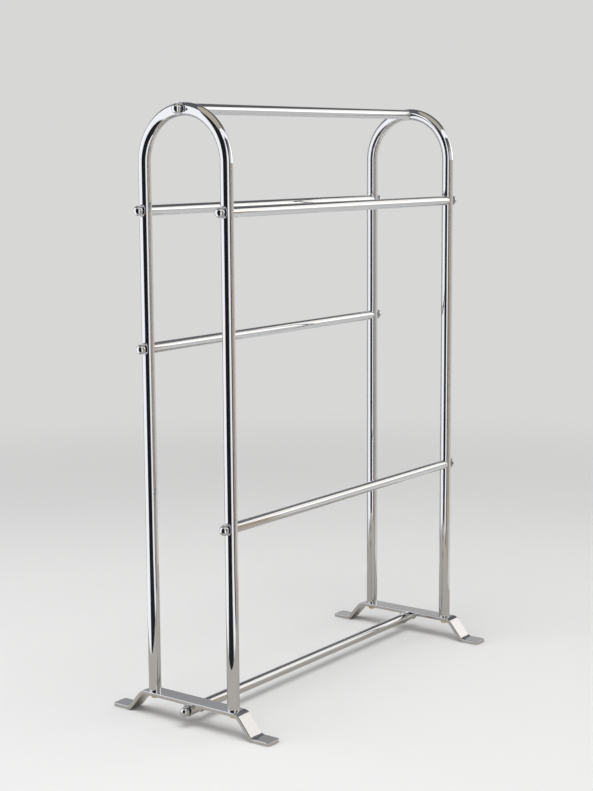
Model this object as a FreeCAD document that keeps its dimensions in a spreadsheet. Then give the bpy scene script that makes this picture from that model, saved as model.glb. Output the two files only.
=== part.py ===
"""Freestanding chromed towel stand, in millimetres.

Two hooped end frames stand on joggled foot bars and are joined by six cross rails.
The frame is +Z up, X along the rails, -Y the front. The origin is on the floor, midway
between the feet. Every size is a cell of the sheet; every sub-part is bound to them.
"""
import FreeCAD, Part
import math
import os

import Sketcher

doc = FreeCAD.newDocument("towel_stand")

# ---------------------------------------------------------------- driving sizes

SIZES = [
    ("frame_spacing", 600.0, "middle of left hoop to middle of right hoop"),
    ("leg_spacing", 155.0, "middle of front leg to middle of rear leg"),
    ("leg_diameter", 19.0, "outside of the hoop tube"),
    ("leg_wall", 1.2, "wall of the hoop tube"),
    ("rail_diameter", 16.0, "outside of a cross rail"),
    ("rail_wall", 1.0, "wall of a cross rail"),
    ("top_rail_height", 920.5, "floor to middle of the top rail"),
    ("upper_rail_height", 774.0, "floor to middle of the two upper rails"),
    ("middle_rail_height", 569.0, "floor to middle of the rear middle rail"),
    ("lower_rail_height", 314.0, "floor to middle of the front lower rail"),
    ("bar_width", 28.0, "foot bar, across"),
    ("bar_thickness", 6.0, "foot bar, thick"),
    ("foot_rise", 32.0, "floor to underside of the raised middle"),
    ("riser_angle", 50.0, "slope of the foot bar's risers, degrees"),
    ("bend_radius", 10.0, "inside radius of the foot bar's bends"),
    ("flat_overhang", 10.0, "leg's middle to start of the upper bend"),
    ("foot_length", 33.0, "lower bend's corner to tip of the foot"),
    ("tip_radius", 4.0, "plan corners of a foot's tip"),
    ("bar_edge_radius", 1.0, "rolled long edges of the foot bar"),
    ("bolt_diameter", 6.0, "every bolt's shank"),
    ("hole_clearance", 0.3, "bolt shank to hole, on the radius"),
    ("thread_clearance", 0.05, "bolt shank to threaded bore, on the radius"),
    ("ball_diameter", 15.0, "ball head"),
    ("ball_seat_diameter", 9.0, "flat that the ball head sits on"),
    ("collar_diameter", 18.5, "rim of the dished collar"),
    ("collar_hub_diameter", 10.4, "hub of the dished collar"),
    ("collar_hub_height", 0.8, "tube's crown to the ball's seat"),
    ("collar_dish", 1.5, "rim of the collar beyond its root"),
    ("collar_lip", 0.7, "collar's sheet, thick"),
    ("collar_rim_round", 0.42, "radius of the collar's rim, over half its sheet"),
    ("boss_diameter", 16.0, "rail boss under a foot bar"),
    ("weld_width", 15.0, "rail boss's welds where they meet the bar"),
    ("weld_radius", 3.0, "hollow face of those welds"),
    ("weld_angle", 45.0, "where the welds leave the boss, degrees from its top"),
    ("ring_diameter", 19.5, "ring between boss and bottom rail"),
    ("ring_thickness", 2.0, "ring between boss and bottom rail"),
    ("rail_plug_length", 18.0, "threaded plug in a rail end"),
    ("rail_plug_recess", 3.0, "leg's crown, or ring, to the rail's plug"),
    ("leg_plug_length", 18.0, "threaded plug in a leg's end"),
    ("thread_engagement", 12.0, "length of bolt inside its plug"),
    ("bolt_chamfer", 0.8, "tip of every bolt"),
    ("head_flats", 10.0, "hexagon head, across flats"),
    ("head_height", 4.0, "hexagon head"),
    ("head_bevel_angle", 30.0, "bevel of the head's corners, degrees"),
    ("washer_diameter", 11.4, "spring washer"),
    ("washer_thickness", 2.0, "spring washer"),
    ("washer_gap", 1.2, "slot in the spring washer"),
    ("washer_slant", 20.0, "slant of that slot, degrees"),
]

sheet = doc.addObject("Spreadsheet::Sheet", "Sizes")
for row, (alias, value, meaning) in enumerate(SIZES, start=1):
    sheet.set("A%d" % row, alias)
    sheet.set("B%d" % row, "%g" % value)
    sheet.set("C%d" % row, meaning)
    sheet.setAlias("B%d" % row, alias)
doc.recompute()

# ---------------------------------------------------------------- derived sizes, as expressions


def size(expression):
    """The number that an expression of the sheet's cells gives."""
    return float(sheet.evalExpression(expression))


FRAME_X = "(Sizes.frame_spacing / 2)"
LEG_Y = "(Sizes.leg_spacing / 2)"
LEG_R = "(Sizes.leg_diameter / 2)"
RAIL_R = "(Sizes.rail_diameter / 2)"
RAIL_BORE_R = "(Sizes.rail_diameter / 2 - Sizes.rail_wall)"
LEG_BORE_R = "(Sizes.leg_diameter / 2 - Sizes.leg_wall)"
BOLT_R = "(Sizes.bolt_diameter / 2)"
HOLE_R = "(Sizes.bolt_diameter / 2 + Sizes.hole_clearance)"
TAPPED_R = "(Sizes.bolt_diameter / 2 + Sizes.thread_clearance)"
BALL_R = "(Sizes.ball_diameter / 2)"
BAR_TOP = "(Sizes.foot_rise + Sizes.bar_thickness)"
BAR_HALF = "(Sizes.bar_width / 2)"
HALF_SHEET = "(Sizes.bar_thickness / 2)"
SPRING_Z = "(Sizes.top_rail_height - Sizes.leg_spacing / 2)"
UPPER_RAIL_Z = "Sizes.upper_rail_height"
MIDDLE_RAIL_Z = "Sizes.middle_rail_height"
LOWER_RAIL_Z = "Sizes.lower_rail_height"
BOTTOM_RAIL_Z = "(Sizes.foot_rise - Sizes.boss_diameter / 2)"
BALL_SEAT_DEPTH = "sqrt(Sizes.ball_diameter ^ 2 - Sizes.ball_seat_diameter ^ 2) / 2"

# The foot bar's middle line: bend start, bend corners and tip, measured from the middle.
BEND_R = "(Sizes.bend_radius + Sizes.bar_thickness / 2)"
BEND_TANGENT = "(%s * tan(Sizes.riser_angle / 2))" % BEND_R
FLAT_END = "(%s + Sizes.flat_overhang)" % LEG_Y
UPPER_CORNER = "(%s + %s)" % (FLAT_END, BEND_TANGENT)
LOWER_CORNER = "(%s + Sizes.foot_rise / tan(Sizes.riser_angle))" % UPPER_CORNER
FOOT_TIP = "(%s + Sizes.foot_length)" % LOWER_CORNER
TANGENT_Y = "(%s * cos(Sizes.riser_angle))" % BEND_TANGENT
TANGENT_Z = "(%s * sin(Sizes.riser_angle))" % BEND_TANGENT

# ---------------------------------------------------------------- where the rails and frames are


def hoop_y(z):
    """Half the hoop's width at a height: straight legs, then drawing in round the bend."""
    return "sqrt(%s ^ 2 - max(0; %s - %s) ^ 2)" % (LEG_Y, z, SPRING_Z)


# Rail name, its Y, its height, and what its ends sit on.
RAILS = [
    ("top", "0", "Sizes.top_rail_height", "hoop"),
    ("upper_front", "-" + hoop_y(UPPER_RAIL_Z), UPPER_RAIL_Z, "hoop"),
    ("upper_rear", hoop_y(UPPER_RAIL_Z), UPPER_RAIL_Z, "hoop"),
    ("middle_rear", hoop_y(MIDDLE_RAIL_Z), MIDDLE_RAIL_Z, "hoop"),
    ("lower_front", "-" + hoop_y(LOWER_RAIL_Z), LOWER_RAIL_Z, "hoop"),
    ("bottom", "0", BOTTOM_RAIL_Z, "boss"),
]

# End frame's name, its X, which way is outwards, and the turn that points X outwards.
HALF_TURN = 180  # degrees
SIDES = [("left", "-" + FRAME_X, -1, HALF_TURN), ("right", FRAME_X, 1, 0)]

# ---------------------------------------------------------------- sketching helpers

ORIGIN = -1
H_AXIS = -1
V_AXIS = -2
START, END, CENTRE = range(1, 4)
SAME = 1e-6  # millimetres: two lengths that differ by less are one
SHARP = 40.0  # degrees: faces that turn more than this meet in an edge to be rolled
HALF_FLAT = "30"  # degrees: from the middle of a hexagon's flat to its corner
WHOLE_TURN = "360"  # degrees


def new_body(label, x="0", y="0", z="0", turn=0):
    """An empty body, placed by expressions and turned about Z."""
    body = doc.addObject("PartDesign::Body", label)
    body.Label = label
    body.Placement.Rotation = FreeCAD.Rotation(FreeCAD.Vector(0, 0, 1), turn)
    body.setExpression("Placement.Base.x", x)
    body.setExpression("Placement.Base.y", y)
    body.setExpression("Placement.Base.z", z)
    return body


def new_sketch(body, name, role, offset=None):
    """A sketch on one of the body's origin planes, lifted along its normal if asked."""
    sketch = body.newObject("Sketcher::SketchObject", name)
    plane = next(item for item in body.Origin.OriginFeatures if item.Role == role)
    sketch.AttachmentSupport = (plane, [""])
    sketch.MapMode = "FlatFace"
    if offset:
        sketch.setExpression("AttachmentOffset.Base.z", offset)
    return sketch


def drive(sketch, kind, refs, expression):
    """A dimension of the sketch, bound to the sheet. Refs end in a positive distance."""
    index = sketch.addConstraint(Sketcher.Constraint(kind, *refs, size(expression)))
    name = "%s_%d" % (kind.lower(), index)
    sketch.renameConstraint(index, name)
    sketch.setExpression("Constraints." + name, expression)


def pin_point(sketch, geometry, point, x, y):
    """Hold a point of the sketch at the place that two expressions give."""
    for kind, axis, expression in (("DistanceX", V_AXIS, x), ("DistanceY", H_AXIS, y)):
        distance = size(expression)
        if abs(distance) < SAME:
            sketch.addConstraint(Sketcher.Constraint("PointOnObject", geometry, point, axis))
        elif distance > 0:
            drive(sketch, kind, (ORIGIN, START, geometry, point), expression)
        else:
            drive(sketch, kind, (geometry, point, ORIGIN, START), "-(%s)" % expression)


def circle(sketch, x, y, radius):
    """A circle whose middle and radius are expressions."""
    centre = FreeCAD.Vector(size(x), size(y), 0)
    shape = Part.Circle(centre, FreeCAD.Vector(0, 0, 1), size(radius))
    index = sketch.addGeometry(shape, False)
    drive(sketch, "Radius", (index,), radius)
    pin_point(sketch, index, CENTRE, x, y)


def arc_between(first, last, radius, left):
    """The short arc from first to last, its middle on the left or right of the way."""
    chord = last - first
    reach = math.sqrt(max(radius ** 2 - (chord.Length / 2) ** 2, 0.0))
    side = FreeCAD.Vector(-chord.y, chord.x, 0).normalize() * (reach if left else -reach)
    centre = (first + last) * 0.5 + side
    whole = Part.Circle(centre, FreeCAD.Vector(0, 0, 1), radius)
    ends = [math.atan2(p.y - centre.y, p.x - centre.x) for p in (first, last)]
    return Part.ArcOfCircle(whole, *(ends if left else reversed(ends)))


def trace(sketch, points, arcs=None, closed=True):
    """An outline through points, with straight sides or arcs.

    arcs gives, for the side that leaves a point, its radius and whether the arc's
    middle lies to the left of the way. A half circle is held by running on smoothly
    from the side before it, any other arc by its radius.
    """
    arcs = arcs or {}
    places = [FreeCAD.Vector(size(x), size(y), 0) for x, y in points]
    sides = len(points) if closed else len(points) - 1
    ends = []
    for side in range(sides):
        first, last = places[side], places[(side + 1) % len(points)]
        if side in arcs:
            radius, left = arcs[side]
            shape = arc_between(first, last, size(radius), left)
            index = sketch.addGeometry(shape, False)
            ends.append((index, START, END) if left else (index, END, START))
        else:
            index = sketch.addGeometry(Part.LineSegment(first, last), False)
            ends.append((index, START, END))
    half_circles = set()
    for side in arcs:
        span = places[(side + 1) % len(points)].distanceToPoint(places[side])
        if abs(span - 2 * size(arcs[side][0])) < SAME:
            half_circles.add(side)
    for side in range(sides - (0 if closed else 1)):
        index, _, leaving = ends[side]
        after, arriving, _ = ends[(side + 1) % sides]
        kind = "Tangent" if (side + 1) % sides in half_circles else "Coincident"
        sketch.addConstraint(Sketcher.Constraint(kind, index, leaving, after, arriving))
    for side, (index, arriving, _) in enumerate(ends):
        pin_point(sketch, index, arriving, *points[side])
        if side in arcs and side not in half_circles:
            drive(sketch, "Radius", (index,), arcs[side][0])
    if not closed:
        pin_point(sketch, ends[-1][0], ends[-1][2], *points[-1])


def feature(body, kind, name, sketch, **settings):
    """A PartDesign feature made from a sketch; text settings of numbers are expressions."""
    item = body.newObject("PartDesign::" + kind, name)
    item.Profile = sketch
    for key, setting in settings.items():
        if key in ("Length", "Angle"):
            item.setExpression(key, setting)
        else:
            setattr(item, key, setting)
    return item


def drill(body, name, role, holes):
    """Round holes right through the body, both ways from one of its planes."""
    sketch = new_sketch(body, name + "_sketch", role)
    for x, y, radius in holes:
        circle(sketch, x, y, radius)
    return feature(body, "Pocket", name, sketch, Type="ThroughAll", SideType="Symmetric")


def mirror(body, name, features, role):
    """The same features again on the other side of one of the body's planes."""
    item = body.newObject("PartDesign::Mirrored", name)
    item.Originals = features
    plane = next(entry for entry in body.Origin.OriginFeatures if entry.Role == role)
    item.MirrorPlane = (plane, [""])
    body.Tip = item
    return item


def revolve(body, name, points, arcs=None):
    """A turned piece: an outline above the X axis, spun round it."""
    sketch = new_sketch(body, name + "_sketch", "XY_Plane")
    trace(sketch, points, arcs)
    return feature(body, "Revolution", name, sketch, Angle=WHOLE_TURN, ReferenceAxis=(sketch, ["H_Axis"]))


# ---------------------------------------------------------------- end hoops


def hoop_sweep(body, kind, name, radii, x="0", y="0", z="0"):
    """Sweep circles along the hoop's middle line; x, y and z are where the body sees it."""
    front, rear = "%s - %s" % (y, LEG_Y), "%s + %s" % (y, LEG_Y)
    foot, spring = "%s + %s" % (z, BAR_TOP), "%s + %s" % (z, SPRING_Z)
    path = new_sketch(body, name + "_path", "YZ_Plane", offset=x)
    outline = [(front, foot), (front, spring), (rear, spring), (rear, foot)]
    trace(path, outline, arcs={1: (LEG_Y, False)}, closed=False)
    section = new_sketch(body, name + "_section", "XY_Plane", offset=foot)
    for radius in radii:
        circle(section, x, front, radius)
    return feature(body, kind, name, section, Spine=path)


def make_hoop(label, x):
    """One bent tube: front leg, half circle, rear leg, cross-drilled for five bolts."""
    body = new_body(label, x=x)
    hoop_sweep(body, "AdditivePipe", "bent_tube", [LEG_R, LEG_BORE_R])
    holes = [(y, z, HOLE_R) for _, y, z, seat in RAILS if seat == "hoop"]
    drill(body, "bolt_holes", "YZ_Plane", holes)
    return body


# ---------------------------------------------------------------- foot bars


def sharp_edges(shape):
    """Names of the edges where two faces meet at a sharp angle."""
    names = []
    for index, edge in enumerate(shape.Edges, start=1):
        middle = edge.valueAt((edge.FirstParameter + edge.LastParameter) / 2)
        normals = []
        for face in shape.ancestorsOfType(edge, Part.Face):
            normals.append(face.normalAt(*face.Surface.parameter(middle)))
        if len(normals) == 2 and math.degrees(normals[0].getAngle(normals[1])) > SHARP:
            names.append("Edge%d" % index)
    return names


def round_edges(body, name, base, edges, radius):
    """A fillet on named edges of the feature before it."""
    item = body.newObject("PartDesign::Fillet", name)
    item.Base = (base, edges)
    item.setExpression("Radius", radius)
    return item


def bar_path():
    """Middle line of the bent bar, from the front tip to the rear tip."""
    half = [
        (FOOT_TIP, HALF_SHEET),
        ("(%s + %s)" % (LOWER_CORNER, BEND_TANGENT), HALF_SHEET),
        ("(%s - %s)" % (LOWER_CORNER, TANGENT_Y), "%s + %s" % (HALF_SHEET, TANGENT_Z)),
        ("(%s + %s)" % (UPPER_CORNER, TANGENT_Y), "%s - %s - %s" % (BAR_TOP, HALF_SHEET, TANGENT_Z)),
        (FLAT_END, "%s - %s" % (BAR_TOP, HALF_SHEET)),
    ]
    front = [("-" + y, z) for y, z in half]
    return front + half[::-1]


def make_foot_bar(label, x):
    """A flat bar joggled down to a foot at each end, with a hole under each leg."""
    body = new_body(label, x=x)
    path = new_sketch(body, "bar_path", "YZ_Plane")
    lower, upper = True, False
    bends = {1: lower, 3: upper, 5: upper, 7: lower}
    arcs = {side: (BEND_R, left) for side, left in bends.items()}
    trace(path, bar_path(), arcs=arcs, closed=False)
    section = new_sketch(body, "bar_section", "XZ_Plane", offset=FOOT_TIP)
    corners = [("-" + BAR_HALF, "0"), (BAR_HALF, "0")]
    corners += [(BAR_HALF, "Sizes.bar_thickness"), ("-" + BAR_HALF, "Sizes.bar_thickness")]
    trace(section, corners)
    bar = feature(body, "AdditivePipe", "bent_bar", section, Spine=path)
    doc.recompute()
    tips = []
    for index, edge in enumerate(bar.Shape.Edges, start=1):
        rise = edge.Vertexes[-1].Point - edge.Vertexes[0].Point
        upright = abs(abs(rise.z) - edge.Length) < SAME
        if upright and abs(edge.Vertexes[0].Y) > size(LOWER_CORNER):
            tips.append("Edge%d" % index)
    tip_rounds = round_edges(body, "tip_corners", bar, tips, "Sizes.tip_radius")
    doc.recompute()
    sharp = sharp_edges(tip_rounds.Shape)
    round_edges(body, "rolled_edges", tip_rounds, sharp, "Sizes.bar_edge_radius")
    holes = [("0", "-" + LEG_Y, HOLE_R), ("0", LEG_Y, HOLE_R)]
    drill(body, "leg_bolt_holes", "XY_Plane", holes)
    return body


def make_rail_boss(label, x):
    """A bored round boss welded under the middle of a foot bar, for the bottom rail."""
    body = new_body(label, x=x, z=BOTTOM_RAIL_Z)
    radius = "(Sizes.boss_diameter / 2)"
    root_y = "(Sizes.boss_diameter / 2 * sin(Sizes.weld_angle))"
    root_z = "(Sizes.boss_diameter / 2 * cos(Sizes.weld_angle))"
    weld_half = "(Sizes.weld_width / 2)"
    section = new_sketch(body, "boss_section", "YZ_Plane")
    circle(section, "0", "0", radius)
    feature(body, "Pad", "boss", section, Length="Sizes.bar_width", SideType="Symmetric")
    weld = new_sketch(body, "weld_section", "YZ_Plane")
    outline = [(weld_half, radius), ("-" + weld_half, radius)]
    outline += [("-" + root_y, root_z), (root_y, root_z)]
    hollow = ("Sizes.weld_radius", False)
    trace(weld, outline, arcs={1: hollow, 3: hollow})
    feature(body, "Pad", "welds", weld, Length="Sizes.bar_width", SideType="Symmetric")
    drill(body, "bolt_hole", "YZ_Plane", [("0", "0", HOLE_R)])
    return body


# ---------------------------------------------------------------- cross rails


def cope(body, name, x, y, z):
    """Cut a seat for the hoop's tube, wherever on the hoop the body is."""
    return hoop_sweep(body, "SubtractivePipe", name, [LEG_R], x, "-(%s)" % y, "-%s" % z)


def make_rail(label, y, z, length, seat):
    """A thin tube along X; its ends are coped to the hoops, or cut square for bosses."""
    body = new_body(label, y=y, z=z)
    section = new_sketch(body, "rail_section", "YZ_Plane")
    circle(section, "0", "0", RAIL_R)
    circle(section, "0", "0", RAIL_BORE_R)
    feature(body, "Pad", "tube", section, Length=length, SideType="Symmetric")
    if seat == "hoop":
        cope(body, "right_cope", FRAME_X, y, z)
        cope(body, "left_cope", "-" + FRAME_X, y, z)
    return body


def make_rail_plugs(label, y, z, rail_end):
    """A tapped plug inside each end of a rail."""
    body = new_body(label, y=y, z=z)
    inner_end = "%s - Sizes.rail_plug_recess - Sizes.rail_plug_length" % rail_end
    section = new_sketch(body, "plug_section", "YZ_Plane", offset=inner_end)
    circle(section, "0", "0", RAIL_BORE_R)
    circle(section, "0", "0", TAPPED_R)
    plug = feature(body, "Pad", "plug", section, Length="Sizes.rail_plug_length")
    mirror(body, "other_plug", [plug], "YZ_Plane")
    return body


# ---------------------------------------------------------------- ball bolts and collars


def make_ball_bolt(label, x, y, z, turn, reach):
    """A turned ball head on a shank; local X runs out through the ball, from its seat."""
    body = new_body(label, x, y, z, turn)
    tip = "-(%s + Sizes.thread_engagement)" % reach
    seat = "(Sizes.ball_seat_diameter / 2)"
    outline = [
        (tip, "0"),
        (tip, "%s - Sizes.bolt_chamfer" % BOLT_R),
        ("%s + Sizes.bolt_chamfer" % tip, BOLT_R),
        ("0", BOLT_R),
        ("0", seat),
        ("%s + %s" % (BALL_SEAT_DEPTH, BALL_R), "0"),
    ]
    revolve(body, "ball_and_shank", outline, arcs={4: (BALL_R, False)})
    return body


def make_collar(label, x, y, z, sign, turn, seat):
    """A dished collar; local X runs outwards from the crown of the tube it sits on."""
    body = new_body(label, x, y, z, turn)
    hub = "(Sizes.collar_hub_diameter / 2)"
    bulge = "(Sizes.collar_rim_round - sqrt(Sizes.collar_rim_round ^ 2 - Sizes.collar_lip ^ 2 / 4))"
    rim = "(Sizes.collar_diameter / 2 - %s)" % bulge
    face = "Sizes.collar_hub_height"
    root = "0" if seat == "boss" else "-(%s - sqrt(%s ^ 2 - %s ^ 2))" % (LEG_R, LEG_R, hub)
    outline = [
        (root, HOLE_R),
        (face, HOLE_R),
        (face, hub),
        ("%s + Sizes.collar_dish" % face, rim),
        ("%s + Sizes.collar_dish - Sizes.collar_lip" % face, rim),
        ("%s - Sizes.collar_lip" % face, hub),
        (root, hub),
    ]
    revolve(body, "dished_collar", outline, arcs={3: ("Sizes.collar_rim_round", True)})
    if seat == "hoop":
        cope(body, "saddle", "-" + LEG_R, "%d * %s" % (sign, y), z)
    return body


def make_ring(label, x, turn):
    """A thin round-edged ring between a rail boss and the bottom rail."""
    body = new_body(label, x, "0", BOTTOM_RAIL_Z, turn)
    thick = "Sizes.ring_thickness"
    shoulder = "(Sizes.ring_diameter / 2 - Sizes.ring_thickness / 2)"
    outline = [("0", HOLE_R), ("0", shoulder), (thick, shoulder), (thick, HOLE_R)]
    revolve(body, "ring", outline, arcs={1: ("(Sizes.ring_thickness / 2)", False)})
    return body


# ---------------------------------------------------------------- leg fixings


def make_leg_plugs(label, x):
    """A tapped plug inside the bottom of both legs of a hoop."""
    body = new_body(label, x=x, z=BAR_TOP)
    section = new_sketch(body, "plug_section", "XY_Plane")
    circle(section, "0", LEG_Y, LEG_BORE_R)
    circle(section, "0", LEG_Y, TAPPED_R)
    plug = feature(body, "Pad", "plug", section, Length="Sizes.leg_plug_length")
    mirror(body, "other_plug", [plug], "XZ_Plane")
    return body


def bevel(body, name, corners):
    """Cut a corner off all round the body's Z axis; the corners are of the cut's section."""
    sketch = new_sketch(body, name + "_section", "XZ_Plane")
    trace(sketch, corners)
    axis = (sketch, ["V_Axis"])
    return feature(body, "Groove", name, sketch, ReferenceAxis=axis, Angle=WHOLE_TURN)


def make_foot_bolt(label, x, y):
    """A hexagon bolt up through the foot bar; its local Z starts at the head's seat."""
    body = new_body(label, x, y, "Sizes.foot_rise - Sizes.washer_thickness")
    flat = "(Sizes.head_flats / 2)"
    corner = "(Sizes.head_flats / 2 / cos(%s))" % HALF_FLAT
    side = "(Sizes.head_flats / 2 * tan(%s))" % HALF_FLAT
    head = new_sketch(body, "head_section", "XY_Plane")
    outline = [(corner, "0"), (side, flat), ("-" + side, flat)]
    outline += [("-" + corner, "0"), ("-" + side, "-" + flat), (side, "-" + flat)]
    trace(head, outline)
    feature(body, "Pad", "head", head, Length="Sizes.head_height", Reversed=True)
    shank = new_sketch(body, "shank_section", "XY_Plane")
    circle(shank, "0", "0", BOLT_R)
    tip = "(Sizes.washer_thickness + Sizes.bar_thickness + Sizes.thread_engagement)"
    feature(body, "Pad", "shank", shank, Length=tip)
    under = "-Sizes.head_height"
    bevel_top = "%s + (%s - %s) * tan(Sizes.head_bevel_angle)" % (under, corner, flat)
    bevel(body, "head_bevel", [(flat, under), (corner, under), (corner, bevel_top)])
    core = "(%s - Sizes.bolt_chamfer)" % BOLT_R
    chamfer_foot = "%s - Sizes.bolt_chamfer" % tip
    bevel(body, "tip_chamfer", [(core, tip), (BOLT_R, tip), (BOLT_R, chamfer_foot)])
    return body


def make_spring_washer(label, x, y):
    """A split ring between the bolt's head and the foot bar."""
    body = new_body(label, x, y, "Sizes.foot_rise - Sizes.washer_thickness")
    section = new_sketch(body, "ring_section", "XY_Plane")
    circle(section, "0", "0", "Sizes.washer_diameter / 2")
    circle(section, "0", "0", HOLE_R)
    feature(body, "Pad", "ring", section, Length="Sizes.washer_thickness")
    slot = new_sketch(body, "slot_section", "YZ_Plane")
    top = "Sizes.washer_thickness"
    half = "(Sizes.washer_gap / 2)"
    lean = "(Sizes.washer_thickness * tan(Sizes.washer_slant))"
    outline = [("-" + half, "0"), (half, "0")]
    outline += [("%s + %s" % (half, lean), top), ("-%s + %s" % (half, lean), top)]
    trace(slot, outline)
    feature(body, "Pocket", "slot", slot, Type="ThroughAll", Reversed=True)
    return body


# ---------------------------------------------------------------- the assembly

parts = []
for side, x, _, _ in SIDES:
    parts.append(make_hoop(side + "_hoop", x))
    parts.append(make_foot_bar(side + "_foot_bar", x))
    parts.append(make_rail_boss(side + "_rail_boss", x))
    parts.append(make_leg_plugs(side + "_leg_plugs", x))
    for place, y in (("front", "-" + LEG_Y), ("rear", LEG_Y)):
        parts.append(make_foot_bolt("%s_%s_foot_bolt" % (side, place), x, y))
        parts.append(make_spring_washer("%s_%s_spring_washer" % (side, place), x, y))

for name, y, z, seat in RAILS:
    on_boss = seat == "boss"
    held = BAR_HALF if on_boss else LEG_R
    grip = "(2 * %s + %s)" % (held, "Sizes.ring_thickness" if on_boss else "0")
    rail_end = "(%s - %s - %s)" % (FRAME_X, held, "Sizes.ring_thickness" if on_boss else "0")
    length = "2 * " + (rail_end if on_boss else FRAME_X)
    reach = "(Sizes.collar_hub_height + %s + Sizes.rail_plug_recess)" % grip
    parts.append(make_rail(name + "_rail", y, z, length, seat))
    parts.append(make_rail_plugs(name + "_rail_plugs", y, z, rail_end))
    for side, _, sign, turn in SIDES:
        crown = "%d * (%s + %s)" % (sign, FRAME_X, held)
        ball_seat = "%d * (%s + %s + Sizes.collar_hub_height)" % (sign, FRAME_X, held)
        stem = "%s_%s" % (side, name)
        parts.append(make_collar(stem + "_collar", crown, y, z, sign, turn, seat))
        parts.append(make_ball_bolt(stem + "_ball_bolt", ball_seat, y, z, turn, reach))

for side, _, sign, turn in SIDES:
    inner_face = "%d * (%s - %s)" % (sign, FRAME_X, BAR_HALF)
    parts.append(make_ring(side + "_bottom_rail_ring", inner_face, HALF_TURN - turn))

doc.recompute()

# ---------------------------------------------------------------- checks and export

CUTS = ("PartDesign::Pocket", "PartDesign::Groove", "PartDesign::SubtractivePipe")
for item in doc.Objects:
    if "Invalid" in item.State or "Error" in item.State:
        raise RuntimeError("%s failed: %s" % (item.Label, item.State))
    if item.TypeId in CUTS:
        if item.Shape.Volume > item.BaseFeature.Shape.Volume - SAME:
            raise RuntimeError("%s cuts nothing" % item.Label)
for part in parts:
    if part.Shape.isNull() or not part.Shape.isValid():
        raise RuntimeError("%s has no valid shape" % part.Label)

os.makedirs("parts", exist_ok=True)
for part in parts:
    part.Shape.exportStep("parts/%s.step" % part.Label)
    print("%-32s %d solid(s) %10.1f mm3" % (part.Label, len(part.Shape.Solids), part.Shape.Volume))
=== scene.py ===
# %% [markdown]
# # A chrome drying stand, dressed in Blender
# The object is a light free-standing rack: two bent tube hoops on bent flat feet, joined by six
# round rails. The solid model already holds every piece at its true size and place, so this
# lesson loads it, gives each piece the surface of the real thing, and rebuilds in Blender the
# pieces whose curves have to be smoother than the solid model's triangles.

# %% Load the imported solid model
from math import cos, pi, radians, sin

import bmesh
import bpy
from mathutils import Matrix, Vector


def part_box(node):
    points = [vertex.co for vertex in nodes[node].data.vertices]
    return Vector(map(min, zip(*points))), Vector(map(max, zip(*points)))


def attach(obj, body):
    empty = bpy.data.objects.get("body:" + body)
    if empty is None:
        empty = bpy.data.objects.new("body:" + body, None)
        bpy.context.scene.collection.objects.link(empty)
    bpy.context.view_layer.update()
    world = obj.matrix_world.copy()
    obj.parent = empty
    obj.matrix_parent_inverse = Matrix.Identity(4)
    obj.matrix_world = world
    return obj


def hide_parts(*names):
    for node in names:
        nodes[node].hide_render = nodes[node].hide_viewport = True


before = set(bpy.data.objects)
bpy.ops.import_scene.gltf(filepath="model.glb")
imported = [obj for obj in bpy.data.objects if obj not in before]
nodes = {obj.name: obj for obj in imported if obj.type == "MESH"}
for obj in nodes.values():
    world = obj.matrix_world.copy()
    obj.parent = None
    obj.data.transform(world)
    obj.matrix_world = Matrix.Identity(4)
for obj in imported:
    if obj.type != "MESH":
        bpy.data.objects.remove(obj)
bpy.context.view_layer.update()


# %% [markdown]
# ## The stand's own sizes
# The new pieces must land exactly on the solid ones, so their sizes are read from the boxes of
# the nodes that they meet, and only the wall of the tube is given here as a number.

# %% Read the sizes from the nodes
SIDES = {"left": -1, "right": 1}
TUBE_WALL = 0.0012

hoop_low, hoop_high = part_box("left_hoop")
TUBE_RADIUS = (hoop_high.x - hoop_low.x) / 2
FRAME_X = abs(hoop_low.x + hoop_high.x) / 2
LEG_Y = (hoop_high.y - hoop_low.y) / 2 - TUBE_RADIUS
LEG_FOOT = hoop_low.z
BEND_START = hoop_high.z - TUBE_RADIUS - LEG_Y
print("tube radius %.4f, hoop at x %.3f, legs at y %.4f" % (TUBE_RADIUS, FRAME_X, LEG_Y))
print("legs stand at z %.4f and bend from z %.4f" % (LEG_FOOT, BEND_START))

# %% [markdown]
# ## Small helpers for making a piece
# A bmesh is a mesh that is being worked on. Each piece here starts as one, is shaped by Blender's
# own operators, and is then poured into an object that stays at the origin, so that its place
# is in its mesh, as it is for the solid nodes.

# %% Pour a bmesh into an object
SHARP_ANGLE = radians(35)
MERGE_DISTANCE = 1e-6


def pour(bm, name, material):
    """Makes an object of the bmesh, in the given material."""
    mesh = bpy.data.meshes.new(name)
    bm.to_mesh(mesh)
    bm.free()
    mesh.materials.append(material)
    made = bpy.data.objects.new(name, mesh)
    bpy.context.scene.collection.objects.link(made)
    return made


def finish_piece(bm, name, material, *stands_for):
    """Makes a piece, smooth except across sharp edges, and lets it ride on the stand."""
    bmesh.ops.remove_doubles(bm, verts=bm.verts, dist=MERGE_DISTANCE)
    bmesh.ops.recalc_face_normals(bm, faces=bm.faces)
    piece = pour(bm, name, material)
    piece.data.shade_smooth()
    piece.data.set_sharp_from_angle(angle=SHARP_ANGLE)
    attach(piece, "root")
    if stands_for:
        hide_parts(*stands_for)
    print(name, len(piece.data.vertices), "vertices")


# %% [markdown]
# ## Shared surface effects
# Bright chrome is never quite perfect: polishing leaves a faint waviness, hands leave smears that
# dull the mirror in patches, and edges are buffed a little rounder and softer. Each effect is a
# node group, built once and set differently in every material, so all finishes belong together.

# %% Helpers for node groups and materials
FLOAT = "NodeSocketFloat"
COLOUR = "NodeSocketColor"


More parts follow.
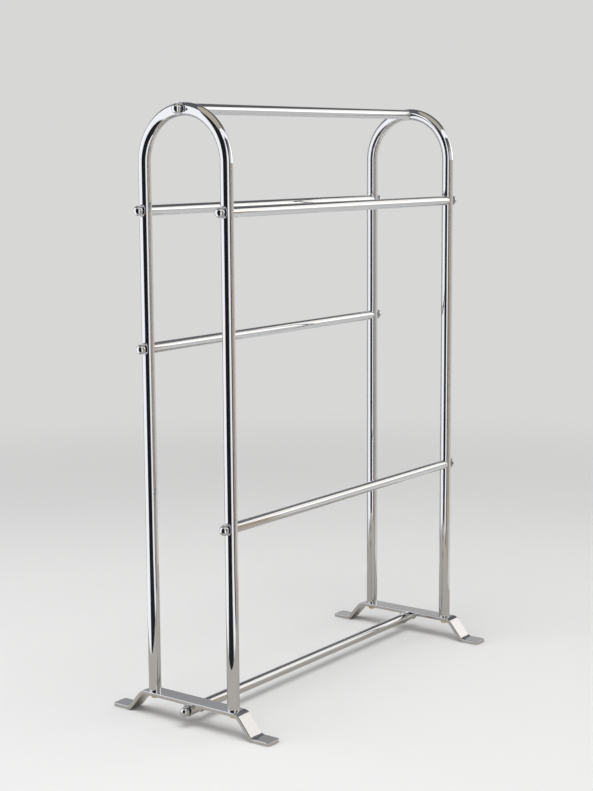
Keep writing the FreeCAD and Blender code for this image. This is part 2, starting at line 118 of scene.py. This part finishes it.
def start_group(name, inputs, outputs):
    """Makes a shader group with named sockets, and returns its tree and its two ends."""
    tree = bpy.data.node_groups.new(name, "ShaderNodeTree")
    for socket, kind, value in inputs:
        made = tree.interface.new_socket(name=socket, in_out="INPUT", socket_type=kind)
        made.default_value = value
    for socket, kind in outputs:
        tree.interface.new_socket(name=socket, in_out="OUTPUT", socket_type=kind)
    return tree, tree.nodes.new("NodeGroupInput"), tree.nodes.new("NodeGroupOutput")


def add(tree, kind, **values):
    """Adds a node. A value goes to its setting of that name, or else to its socket of that name."""
    made = tree.nodes.new(kind)
    for key, value in values.items():
        if hasattr(made, key):
            setattr(made, key, value)
        else:
            made.inputs[key.replace("_", " ")].default_value = value
    return made


def add_ramp(tree, low, high):
    """Adds a soft step that is 0 at the low value and 1 at the high one."""
    return add(
        tree,
        "ShaderNodeMapRange",
        interpolation_type="SMOOTHSTEP",
        From_Min=low,
        From_Max=high,
    )


def link(tree, source, output, target, socket):
    """Links an output of one node to a socket of another."""
    tree.links.new(source.outputs[output], target.inputs[socket])


print("helpers: start_group, add, add_ramp, link")

# %% [markdown]
# ### Polish
# A tube is polished on turning belts before it is plated. What is left is a slow waviness that
# makes reflections swim. A finer grain would break the mirror into glitter when it is seen from
# far, so one large soft noise in Object coordinates is enough. A material uses it twice: as a
# height for a Bump node, and as a slight drift of the roughness.

# %% The polish group
polish, polish_in, polish_out = start_group(
    "polish",
    [("Waves per Metre", FLOAT, 40.0)],
    [("Waviness", FLOAT)],
)
place = add(polish, "ShaderNodeTexCoord")
waves = add(polish, "ShaderNodeTexNoise", Detail=0.0)
link(polish, place, "Object", waves, "Vector")
link(polish, polish_in, "Waves per Metre", waves, "Scale")
link(polish, waves, "Fac", polish_out, "Waviness")
print("polish group:", len(polish.nodes), "nodes")

# %% [markdown]
# ### Smears and dust
# Chrome is touched and splashed. A smear only changes how rough the mirror is, and dust settles
# on what faces up. The group puts out one mask for each; the material decides how much each
# mask shows.

# %% The smears and dust group
SMEAR_EDGE = (0.52, 0.74)
DUST_EDGE = (0.35, 0.95)

marks, marks_in, marks_out = start_group(
    "smears_and_dust",
    [("Smears per Metre", FLOAT, 14.0), ("Specks per Metre", FLOAT, 700.0)],
    [("Smear", FLOAT), ("Dust", FLOAT)],
)
place = add(marks, "ShaderNodeTexCoord")
smear = add(marks, "ShaderNodeTexNoise", Detail=4.0, Roughness=0.6, Distortion=1.2)
smear_mask = add_ramp(marks, *SMEAR_EDGE)
link(marks, place, "Object", smear, "Vector")
link(marks, marks_in, "Smears per Metre", smear, "Scale")
link(marks, smear, "Fac", smear_mask, "Value")
link(marks, smear_mask, "Result", marks_out, "Smear")

facing = add(marks, "ShaderNodeNewGeometry")
upward = add(marks, "ShaderNodeSeparateXYZ")
specks = add(marks, "ShaderNodeTexNoise", Detail=2.0)
dust = add(marks, "ShaderNodeMath", operation="MULTIPLY")
dust_mask = add_ramp(marks, *DUST_EDGE)
link(marks, place, "Object", specks, "Vector")
link(marks, marks_in, "Specks per Metre", specks, "Scale")
link(marks, facing, "Normal", upward, "Vector")
link(marks, upward, "Z", dust, 0)
link(marks, specks, "Fac", dust, 1)
link(marks, dust, "Value", dust_mask, "Value")
link(marks, dust_mask, "Result", marks_out, "Dust")
print("smears and dust group:", len(marks.nodes), "nodes")

# %% [markdown]
# ### Edge wear
# Plating and polish both thin out at an edge, where it is touched most. The Bevel node gives the
# normal that a slightly rounder edge would have; where that differs from the true normal, there
# is an edge, and a noise breaks the line so that the wear isn't even.

# %% The edge wear group
# The two normals' likeness, 1 where they agree: wear starts at the first value and is full at
# the second.
WEAR_LIKENESS = (0.995, 0.90)
BEVEL_SAMPLES = 4

wear, wear_in, wear_out = start_group(
    "edge_wear",
    [("Width", FLOAT, 0.0006), ("Patches per Metre", FLOAT, 120.0)],
    [("Wear", FLOAT)],
)
place = add(wear, "ShaderNodeTexCoord")
rounder = add(wear, "ShaderNodeBevel", samples=BEVEL_SAMPLES)
true_normal = add(wear, "ShaderNodeNewGeometry")
same = add(wear, "ShaderNodeVectorMath", operation="DOT_PRODUCT")
differs = add(wear, "ShaderNodeMapRange", From_Min=WEAR_LIKENESS[0], From_Max=WEAR_LIKENESS[1])
patches = add(wear, "ShaderNodeTexNoise", Detail=3.0)
broken = add(wear, "ShaderNodeMath", operation="MULTIPLY")
link(wear, wear_in, "Width", rounder, "Radius")
link(wear, rounder, "Normal", same, 0)
link(wear, true_normal, "Normal", same, 1)
link(wear, same, "Value", differs, "Value")
link(wear, place, "Object", patches, "Vector")
link(wear, wear_in, "Patches per Metre", patches, "Scale")
link(wear, differs, "Result", broken, 0)
link(wear, patches, "Fac", broken, 1)
link(wear, broken, "Value", wear_out, "Wear")
print("edge wear group:", len(wear.nodes), "nodes")

# %% [markdown]
# ## Putting effects into a material
# A material starts as one Principled shader. The effects are groups placed beside it. Their
# colours are mixed one onto the next, and every mask is weighed and added to the roughness.

# %% Helpers for a material


def fresh_material(name):
    """The material of that name, new or emptied, with one Principled shader."""
    material = bpy.data.materials.get(name) or bpy.data.materials.new(name)
    material.use_nodes = True
    tree = material.node_tree
    tree.nodes.clear()
    surface = tree.nodes.new("ShaderNodeOutputMaterial")
    shader = tree.nodes.new("ShaderNodeBsdfPrincipled")
    tree.links.new(shader.outputs[0], surface.inputs["Surface"])
    return material, tree, shader


def use_group(tree, group, **values):
    """Places a shared group in a material, with this material's own values."""
    made = tree.nodes.new("ShaderNodeGroup")
    made.node_tree = group
    for key, value in values.items():
        made.inputs[key.replace("_", " ")].default_value = value
    return made


def mix_colour(tree, factor, first, second):
    """Mixes from a colour or a socket to a plain colour, by a factor socket."""
    made = add(tree, "ShaderNodeMix", data_type="RGBA")
    tree.links.new(factor, made.inputs["Factor"])
    if isinstance(first, tuple):
        made.inputs["A"].default_value = first
    else:
        tree.links.new(first, made.inputs["A"])
    made.inputs["B"].default_value = second
    return made.outputs["Result"]


def weigh(tree, value, weight, onto):
    """Adds weight times a value socket onto a number or a socket."""
    made = add(tree, "ShaderNodeMath", operation="MULTIPLY_ADD")
    tree.links.new(value, made.inputs[0])
    made.inputs[1].default_value = weight
    if isinstance(onto, float):
        made.inputs[2].default_value = onto
    else:
        tree.links.new(onto, made.inputs[2])
    return made.outputs[0]


def bump_up(tree, shader, height, depth):
    """Lets a height socket tilt the shader's normal, over the given depth in metres."""
    bump = add(tree, "ShaderNodeBump", Strength=1.0, Distance=depth)
    tree.links.new(height, bump.inputs["Height"])
    tree.links.new(bump.outputs[0], shader.inputs["Normal"])


print("helpers: fresh_material, use_group, mix_colour, weigh, bump_up")

# %% [markdown]
# ## Chrome
# Chrome plate is a mirror with a cool grey of its own. In the shader that is a metal with a pale
# colour and a very low roughness. The groups above then shift the roughness and the colour a
# little from place to place. Tube, flat bar and turned fittings get the same recipe with
# different numbers: a bent bar is polished flat and duller, a small turned ball is the cleanest.

# %% Make the three chrome materials
CHROME_GREY = (0.70, 0.705, 0.715, 1)
WORN_GREY = (0.60, 0.59, 0.565, 1)
DUST_GREY = (0.56, 0.545, 0.52, 1)
DUST_COVERS = 0.12
WAVES_DULL = 0.02
DUST_DULLS = 0.10
WEAR_DULLS = 0.12


def make_chrome(name, waves_per_metre, wave_depth, roughness, smear_dulls, edge_width):
    """A chrome finish with all three effects; depths and widths are in metres."""
    material, tree, shader = fresh_material(name)
    shader.inputs["Metallic"].default_value = 1
    surface = use_group(tree, polish, Waves_per_Metre=waves_per_metre)
    touched = use_group(tree, marks)
    edges = use_group(tree, wear, Width=edge_width)
    colour = mix_colour(tree, edges.outputs["Wear"], CHROME_GREY, WORN_GREY)
    dusty = weigh(tree, touched.outputs["Dust"], DUST_COVERS, 0.0)
    colour = mix_colour(tree, dusty, colour, DUST_GREY)
    tree.links.new(colour, shader.inputs["Base Color"])
    rough = weigh(tree, surface.outputs["Waviness"], WAVES_DULL, roughness)
    rough = weigh(tree, touched.outputs["Smear"], smear_dulls, rough)
    rough = weigh(tree, touched.outputs["Dust"], DUST_DULLS, rough)
    rough = weigh(tree, edges.outputs["Wear"], WEAR_DULLS, rough)
    tree.links.new(rough, shader.inputs["Roughness"])
    bump_up(tree, shader, surface.outputs["Waviness"], wave_depth)
    return material


chrome_tube = make_chrome(
    "chrome_tube",
    waves_per_metre=24.0,
    wave_depth=0.00014,
    roughness=0.035,
    smear_dulls=0.03,
    edge_width=0.0005,
)
chrome_bar = make_chrome(
    "chrome_bar",
    waves_per_metre=60.0,
    wave_depth=0.00008,
    roughness=0.06,
    smear_dulls=0.04,
    edge_width=0.0012,
)
chrome_fitting = make_chrome(
    "chrome_fitting",
    waves_per_metre=90.0,
    wave_depth=0.00003,
    roughness=0.03,
    smear_dulls=0.03,
    edge_width=0.0004,
)
print("chrome:", chrome_tube.name, chrome_bar.name, chrome_fitting.name)

# %% [markdown]
# ## Zinc plate
# The bolts under the feet have a thin yellow zinc plate, whose colour drifts between straw, gold
# and a greenish or rosy tint because the film is as thin as an oil film. The plugs inside the
# tubes are clear zinc: grey, a little blue. Both drift by one soft noise, and a cell pattern
# gives the fine crystals of the plate.

# %% The zinc colour drift group
TINT_EDGE = (0.50, 0.72)
BLUSH_EDGE = (0.48, 0.30)
CRYSTALS_PER_METRE = 1400.0

drift, drift_in, drift_out = start_group(
    "zinc_drift",
    [
        ("Patches per Metre", FLOAT, 180.0),
        ("Base", COLOUR, (0.8, 0.6, 0.25, 1)),
        ("Tint", COLOUR, (0.6, 0.62, 0.3, 1)),
        ("Blush", COLOUR, (0.75, 0.5, 0.42, 1)),
    ],
    [("Colour", COLOUR), ("Crystals", FLOAT)],
)
place = add(drift, "ShaderNodeTexCoord")
film = add(drift, "ShaderNodeTexNoise", Detail=2.0, Distortion=0.6)
crystals = add(drift, "ShaderNodeTexVoronoi", Scale=CRYSTALS_PER_METRE)
to_tint = add_ramp(drift, *TINT_EDGE)
to_blush = add_ramp(drift, *BLUSH_EDGE)
tinted = add(drift, "ShaderNodeMix", data_type="RGBA")
blushed = add(drift, "ShaderNodeMix", data_type="RGBA")
link(drift, place, "Object", film, "Vector")
link(drift, place, "Object", crystals, "Vector")
link(drift, drift_in, "Patches per Metre", film, "Scale")
link(drift, film, "Fac", to_tint, "Value")
link(drift, film, "Fac", to_blush, "Value")
link(drift, to_tint, "Result", tinted, "Factor")
link(drift, drift_in, "Base", tinted, "A")
link(drift, drift_in, "Tint", tinted, "B")
link(drift, to_blush, "Result", blushed, "Factor")
link(drift, tinted, "Result", blushed, "A")
link(drift, drift_in, "Blush", blushed, "B")
link(drift, blushed, "Result", drift_out, "Colour")
link(drift, crystals, "Distance", drift_out, "Crystals")
print("zinc drift group:", len(drift.nodes), "nodes")

# %% Make the two zinc materials
ZINC_EDGE_WIDTH = 0.0005
ZINC_WEAR_PATCHES = 400.0
CRYSTALS_DULL = 0.10
CRYSTAL_DEPTH = 0.00002


def make_zinc(name, base, tint, blush, worn, roughness):
    """A zinc finish that drifts from its base colour to a tint and a blush."""
    material, tree, shader = fresh_material(name)
    shader.inputs["Metallic"].default_value = 1
    film = use_group(tree, drift, Base=base, Tint=tint, Blush=blush)
    edges = use_group(tree, wear, Width=ZINC_EDGE_WIDTH, Patches_per_Metre=ZINC_WEAR_PATCHES)
    colour = mix_colour(tree, edges.outputs["Wear"], film.outputs["Colour"], worn)
    tree.links.new(colour, shader.inputs["Base Color"])
    rough = weigh(tree, film.outputs["Crystals"], CRYSTALS_DULL, roughness)
    tree.links.new(rough, shader.inputs["Roughness"])
    bump_up(tree, shader, film.outputs["Crystals"], CRYSTAL_DEPTH)
    return material


yellow_zinc = make_zinc(
    "yellow_zinc",
    base=(0.78, 0.60, 0.24, 1),
    tint=(0.62, 0.62, 0.28, 1),
    blush=(0.74, 0.48, 0.36, 1),
    worn=(0.66, 0.64, 0.60, 1),
    roughness=0.24,
)
zinc_plug = make_zinc(
    "zinc_plug",
    base=(0.62, 0.64, 0.67, 1),
    tint=(0.56, 0.60, 0.66, 1),
    blush=(0.66, 0.65, 0.62, 1),
    worn=(0.72, 0.72, 0.72, 1),
    roughness=0.30,
)
print("zinc:", yellow_zinc.name, zinc_plug.name)

# %% [markdown]
# ## Dressing the solid pieces
# Rails, foot bars, balls, collars, bolts and plugs keep the meshes of the solid model, which are
# fine enough for them. Each already carries the name of its finish, so the new material of that
# name takes the old one's place.

# %% Give every solid node its new material
finishes = {m.name: m for m in (chrome_tube, chrome_bar, chrome_fitting, yellow_zinc, zinc_plug)}
for node in nodes.values():
    slot_name = node.data.materials[0].name.split(".")[0]
    node.data.materials[0] = finishes[slot_name]
for name, finish in finishes.items():
    print(name, sum(node.data.materials[0] == finish for node in nodes.values()), "nodes")

# %% [markdown]
# ## The two hoops
# Each end frame is one tube, straight up, bent through a half turn, and straight down again. The
# solid model's bend is cut into flat facets, which a mirror shows. Here the tube's end is drawn
# as a ring, pulled up along the leg, spun round the centre of the bend in fine steps, and pulled
# down again, so the chrome reflects in one clean sweep.

# %% Sweep a hoop from a ring
TUBE_SIDES = 64
BEND_STEPS = 72


def ring_face(bm, centre, outer, inner, sides):
    """A flat ring with a hole, the cut end of a tube."""
    at = Matrix.Translation(centre)
    outside = bmesh.ops.create_circle(bm, segments=sides, radius=outer, matrix=at)["verts"]
    inside = bmesh.ops.create_circle(bm, segments=sides, radius=inner, matrix=at)["verts"]
    rims = {e for v in outside + inside for e in v.link_edges}
    return bmesh.ops.bridge_loops(bm, edges=list(rims))["faces"]


def pull(bm, faces, step):
    """Extrudes faces by a step and gives back the faces at the new end."""
    grown = bmesh.ops.extrude_face_region(bm, geom=faces)["geom"]
    moved = [g for g in grown if isinstance(g, bmesh.types.BMVert)]
    bmesh.ops.translate(bm, verts=moved, vec=step)
    return [g for g in grown if isinstance(g, bmesh.types.BMFace)]


def make_hoop(side, sign):
    """Sweeps one end frame's tube from the foot of its front leg to that of its rear leg."""
    bm = bmesh.new()
    foot = Vector((sign * FRAME_X, -LEG_Y, LEG_FOOT))
    end = ring_face(bm, foot, TUBE_RADIUS, TUBE_RADIUS - TUBE_WALL, TUBE_SIDES)
    end = pull(bm, end, Vector((0, 0, BEND_START - LEG_FOOT)))
    bend = bmesh.ops.spin(
        bm,
        geom=end,
        cent=(sign * FRAME_X, 0, BEND_START),
        axis=(1, 0, 0),
        angle=-pi,
        steps=BEND_STEPS,
    )
    end = [g for g in bend["geom_last"] if isinstance(g, bmesh.types.BMFace)]
    pull(bm, end, Vector((0, 0, LEG_FOOT - BEND_START)))
    finish_piece(bm, side + "_hoop_tube", chrome_tube, side + "_hoop")


for side, sign in SIDES.items():
    make_hoop(side, sign)

# %% [markdown]
# ## The camera
# The camera stands where the picture was taken from: off the left front corner, a little under
# the height of the stand, looking down by less than nine degrees. Its place and lens come from
# matching the straight legs and rails of the model to those in the picture.

# %% Set the camera
CAMERA_AT = Vector((-2.0808, -1.5210, 0.8582))
CAMERA_YAW = radians(53.391)
CAMERA_DOWN = radians(8.636)
CAMERA_ROLL = radians(-0.365)
CAMERA_LENS = 73.0
CAMERA_SEES_TO = 200

ahead = Vector((sin(CAMERA_YAW), cos(CAMERA_YAW), 0))
forward = cos(CAMERA_DOWN) * ahead + Vector((0, 0, -sin(CAMERA_DOWN)))
level = Vector((cos(CAMERA_YAW), -sin(CAMERA_YAW), 0))
upright = level.cross(forward)
right = cos(CAMERA_ROLL) * level + sin(CAMERA_ROLL) * upright
up = -sin(CAMERA_ROLL) * level + cos(CAMERA_ROLL) * upright
turn = Matrix((right, up, -forward)).transposed()

camera = bpy.data.objects.new("camera", bpy.data.cameras.new("camera"))
bpy.context.scene.collection.objects.link(camera)
camera.data.lens = CAMERA_LENS
camera.data.clip_end = CAMERA_SEES_TO
camera.matrix_world = Matrix.Translation(CAMERA_AT) @ turn.to_4x4()
bpy.context.scene.camera = camera
print("camera at", tuple(CAMERA_AT), "looking along", tuple(round(v, 3) for v in forward))

# %% [markdown]
# ## The floor
# A mirror shows the room more than itself, so the room is part of the material. The floor is a
# wide pale disc. Near the stand it is lit and takes its shadow, and further out it slowly turns
# into an even pale glow of the same tone as the lower sky, so that no horizon line crosses the
# picture from any side.

# %% Lay the floor
FLOOR_RADIUS = 60.0
FLOOR_SIDES = 96
FLOOR_PALE = (0.80, 0.80, 0.79, 1)
FLOOR_SOFT = (0.77, 0.77, 0.765, 1)
CLOUDS_PER_METRE = 2.5
BACKDROP = (0.68, 0.68, 0.675, 1)
FADE_FROM = 0.8
FADE_TO = 2.8
MATT_ROUGHNESS = 0.9


def make_matt(shader):
    """Takes the shine off, as on paper or a painted floor."""
    shader.inputs["Roughness"].default_value = MATT_ROUGHNESS
    shader.inputs["Specular IOR Level"].default_value = 0.0


floor_material, tree, shader = fresh_material("floor")
make_matt(shader)
place = add(tree, "ShaderNodeTexCoord")
clouds = add(tree, "ShaderNodeTexNoise", Scale=CLOUDS_PER_METRE, Detail=4.0)
link(tree, place, "Object", clouds, "Vector")
cloudy = mix_colour(tree, clouds.outputs["Fac"], FLOOR_PALE, FLOOR_SOFT)
tree.links.new(cloudy, shader.inputs["Base Color"])
distance = add(tree, "ShaderNodeVectorMath", operation="LENGTH")
fade = add_ramp(tree, FADE_FROM, FADE_TO)
glow = add(tree, "ShaderNodeEmission", Color=BACKDROP)
ground = add(tree, "ShaderNodeMixShader")
link(tree, place, "Object", distance, 0)
link(tree, distance, "Value", fade, "Value")
link(tree, fade, "Result", ground, 0)
link(tree, shader, 0, ground, 1)
link(tree, glow, 0, ground, 2)
link(tree, ground, 0, tree.nodes["Material Output"], "Surface")

bm = bmesh.new()
bmesh.ops.create_circle(bm, cap_ends=True, segments=FLOOR_SIDES, radius=FLOOR_RADIUS)
floor = pour(bm, "floor", floor_material)
print("floor radius", FLOOR_RADIUS)

# %% [markdown]
# ## The sky
# The room is pale at eye level, where the floor's glow meets it, and darker overhead, as a studio
# is. The world's colour follows the height of the direction that is looked in.

# %% Colour the sky
OVERHEAD = (0.13, 0.13, 0.14, 1)
PALE_UP_TO = 0.12
DARK_FROM = 0.52

world = bpy.data.worlds.new("room")
bpy.context.scene.world = world
world.use_nodes = True
tree = world.node_tree
way = add(tree, "ShaderNodeTexCoord")
height = add(tree, "ShaderNodeSeparateXYZ")
rise = add_ramp(tree, PALE_UP_TO, DARK_FROM)
link(tree, way, "Generated", height, "Vector")
link(tree, height, "Z", rise, "Value")
sky_colour = mix_colour(tree, rise.outputs["Result"], BACKDROP, OVERHEAD)
tree.links.new(sky_colour, tree.nodes["Background"].inputs["Color"])
print("sky: pale up to %.2f, dark from %.2f" % (PALE_UP_TO, DARK_FROM))

# %% [markdown]
# ## Lamps
# Three big soft lamps light the floor and give the stand its faint shadow. Only the right lamp
# also shows in the chrome: it is the bright line along the rails and the cream on the front
# feet. The other two would clip to white there, so mirrors don't see them, and the cards below
# take their place in the reflections.

# %% Hang the lamps
MIDDLE = Vector((0, 0, 0.45))
LAMP_WHITE = (1, 1, 1)
LAMP_CREAM = (1, 0.96, 0.90)


def soft_lamp(name, at, width, height, power, colour, mirrored):
    """A square lamp that faces the middle of the stand."""
    lamp = bpy.data.objects.new(name, bpy.data.lights.new(name, "AREA"))
    bpy.context.scene.collection.objects.link(lamp)
    lamp.data.shape = "RECTANGLE"
    lamp.data.size = width
    lamp.data.size_y = height
    lamp.data.energy = power
    lamp.data.color = colour
    turn = (MIDDLE - Vector(at)).to_track_quat("-Z", "Y").to_matrix()
    lamp.matrix_world = Matrix.Translation(at) @ turn.to_4x4()
    lamp.visible_glossy = mirrored
    print(name, power, "watts")


soft_lamp("left_lamp", (-2.3, 2.2, 1.6), 3.4, 3.1, 50, LAMP_WHITE, mirrored=False)
soft_lamp("right_lamp", (2.55, -1.45, 1.75), 2.2, 1.9, 14, LAMP_CREAM, mirrored=True)
soft_lamp("top_lamp", (-0.6, -0.6, 3.4), 3.2, 2.6, 108, LAMP_WHITE, mirrored=False)

# %% [markdown]
# ## Cards
# Chrome in an evenly white room looks like white plastic. So cards stand round it, outside the
# picture, as painted reflections: the mirror picks up black ones as painted dark lines that say
# "metal", glowing white ones, which are no lamps, as painted highlights, a grey one as the painted
# reflected tone of the flat feet, and warm ones as a painted reflection of the soft beige of a
# room. Cards are seen only in reflections, and neither shade nor colour anything.

# %% Cards and their papers


def card_material(name, colour, glow=0.0):
    """Paper that the lamps light, or, with a glow, a glowing sheet that is no lamp and lights
    nothing: a painted reflection as bright as written.
    """
    material, tree, shader = fresh_material(name)
    make_matt(shader)
    shader.inputs["Base Color"].default_value = (0, 0, 0, 1) if glow else colour
    shader.inputs["Emission Color"].default_value = colour
    shader.inputs["Emission Strength"].default_value = glow
    return material


def place_card(bm, name, material):
    """Pours a card's bmesh into a stage object that only mirrors see."""
    card = pour(bm, name, material)
    card.visible_camera = False
    card.visible_diffuse = False
    card.visible_shadow = False
    print("card:", name)


# Painted reflections: each card below shows only in mirrors. Black paper paints dark lines, grey
# and warm paper paint reflected tones, floor paper paints a beige floor, and the glowing sheets,
# which are no lamps, paint highlights and a beige band.
black_paper = card_material("black_card", (0.02, 0.02, 0.022, 1))
grey_paper = card_material("grey_card", (0.36, 0.36, 0.37, 1))
white_sheet = card_material("white_card", (0.95, 0.96, 1.0, 1), glow=1.3)
warm_paper = card_material("warm_card", (0.50, 0.42, 0.33, 1))
floor_paper = card_material("floor_card", (0.50, 0.47, 0.43, 1))
ceiling_sheet = card_material("ceiling_card", (0.56, 0.52, 0.42, 1), glow=1.0)

# %% [markdown]
# ### Standing cards
# A standing card bends round the stand, so that a tube shows it as one even line. It also runs on
# along the floor towards the stand, because the lower part of a leg mirrors the floor, and its
# line would otherwise stop halfway down. It is three points, spun about the middle.

# %% Stand the cards round the object
CARD_DISTANCE = 1.25
FLAP_FROM = 0.62
FLAP_HEIGHT = 0.002
CARD_STEPS = 12
TALL_CARD = 1.9
LOW_CARD = 0.85
FACING_CAMERA = -pi / 2 - CAMERA_YAW


def stand_card(name, material, height, from_turn, to_turn):
    """A curved card; turns are degrees about Z, from the side that faces the camera."""
    start = FACING_CAMERA + radians(from_turn)
    outward = Vector((cos(start), sin(start), 0))
    lift = Vector((0, 0, FLAP_HEIGHT))
    flap_edge = FLAP_FROM * outward + lift
    foot = CARD_DISTANCE * outward + lift
    bm = bmesh.new()
    profile = [bm.verts.new(point) for point in (flap_edge, foot, foot + Vector((0, 0, height)))]
    edges = [bm.edges.new(pair) for pair in zip(profile, profile[1:])]
    bmesh.ops.spin(
        bm,
        geom=profile + edges,
        cent=(0, 0, 0),
        axis=(0, 0, 1),
        angle=radians(to_turn - from_turn),
        steps=CARD_STEPS,
    )
    place_card(bm, name, material)


# Painted reflections: the black cards paint dark lines into the chrome, the glowing white ones
# paint highlights, and the grey and warm ones paint reflected tones.
stand_card("front_card_wide", black_paper, TALL_CARD, -50, 3)
stand_card("back_left_card", grey_paper, TALL_CARD, -172, -134)
stand_card("left_card", white_sheet, TALL_CARD, -110, -54)
stand_card("front_strip", white_sheet, TALL_CARD, 10, 26)
stand_card("front_card_narrow", black_paper, TALL_CARD, 34, 48)
stand_card("right_card", warm_paper, LOW_CARD, 48, 96)

# %% [markdown]
# ### Cards under and over the stand
# A round card on the floor paints a beige grey reflection into the feet of the legs, in place of
# the real floor. A glowing beige sheet overhead paints the reflected band on the outer side of the
# bends, and a glowing white strip in front of it paints a bright highlight line along the rails
# when they are seen from the front.

# %% Lay one card and hang two
FLOOR_CARD_HEIGHT = 0.001
FLOOR_CARD_SIDES = 64


def hang_card(name, material, middle, half_width, half_depth):
    """A level card over the stand."""
    bm = bmesh.new()
    over = Matrix.Translation(middle) @ Matrix.Diagonal((half_width, half_depth, 1, 1))
    bmesh.ops.create_grid(bm, x_segments=1, y_segments=1, size=1.0, matrix=over)
    place_card(bm, name, material)


bm = bmesh.new()
on_floor = Matrix.Translation((0, 0, FLOOR_CARD_HEIGHT))
bmesh.ops.create_circle(
    bm, cap_ends=True, segments=FLOOR_CARD_SIDES, radius=FLAP_FROM, matrix=on_floor
)
# Painted reflection: the feet of the legs mirror this beige card instead of the floor.
place_card(bm, "floor_card", floor_paper)
# Painted reflections: glowing sheets, no lamps, give the beige band and the bright highlight line.
hang_card("ceiling_card", ceiling_sheet, (-0.6, -0.6, 3.0), half_width=1.5, half_depth=1.2)
hang_card("ceiling_strip", white_sheet, (0, -1.4, 2.3), half_width=1.6, half_depth=0.4)

# %% [markdown]
# The Standard view shows a colour about as it is written.

# %% Set the view
bpy.context.scene.view_settings.view_transform = "Standard"
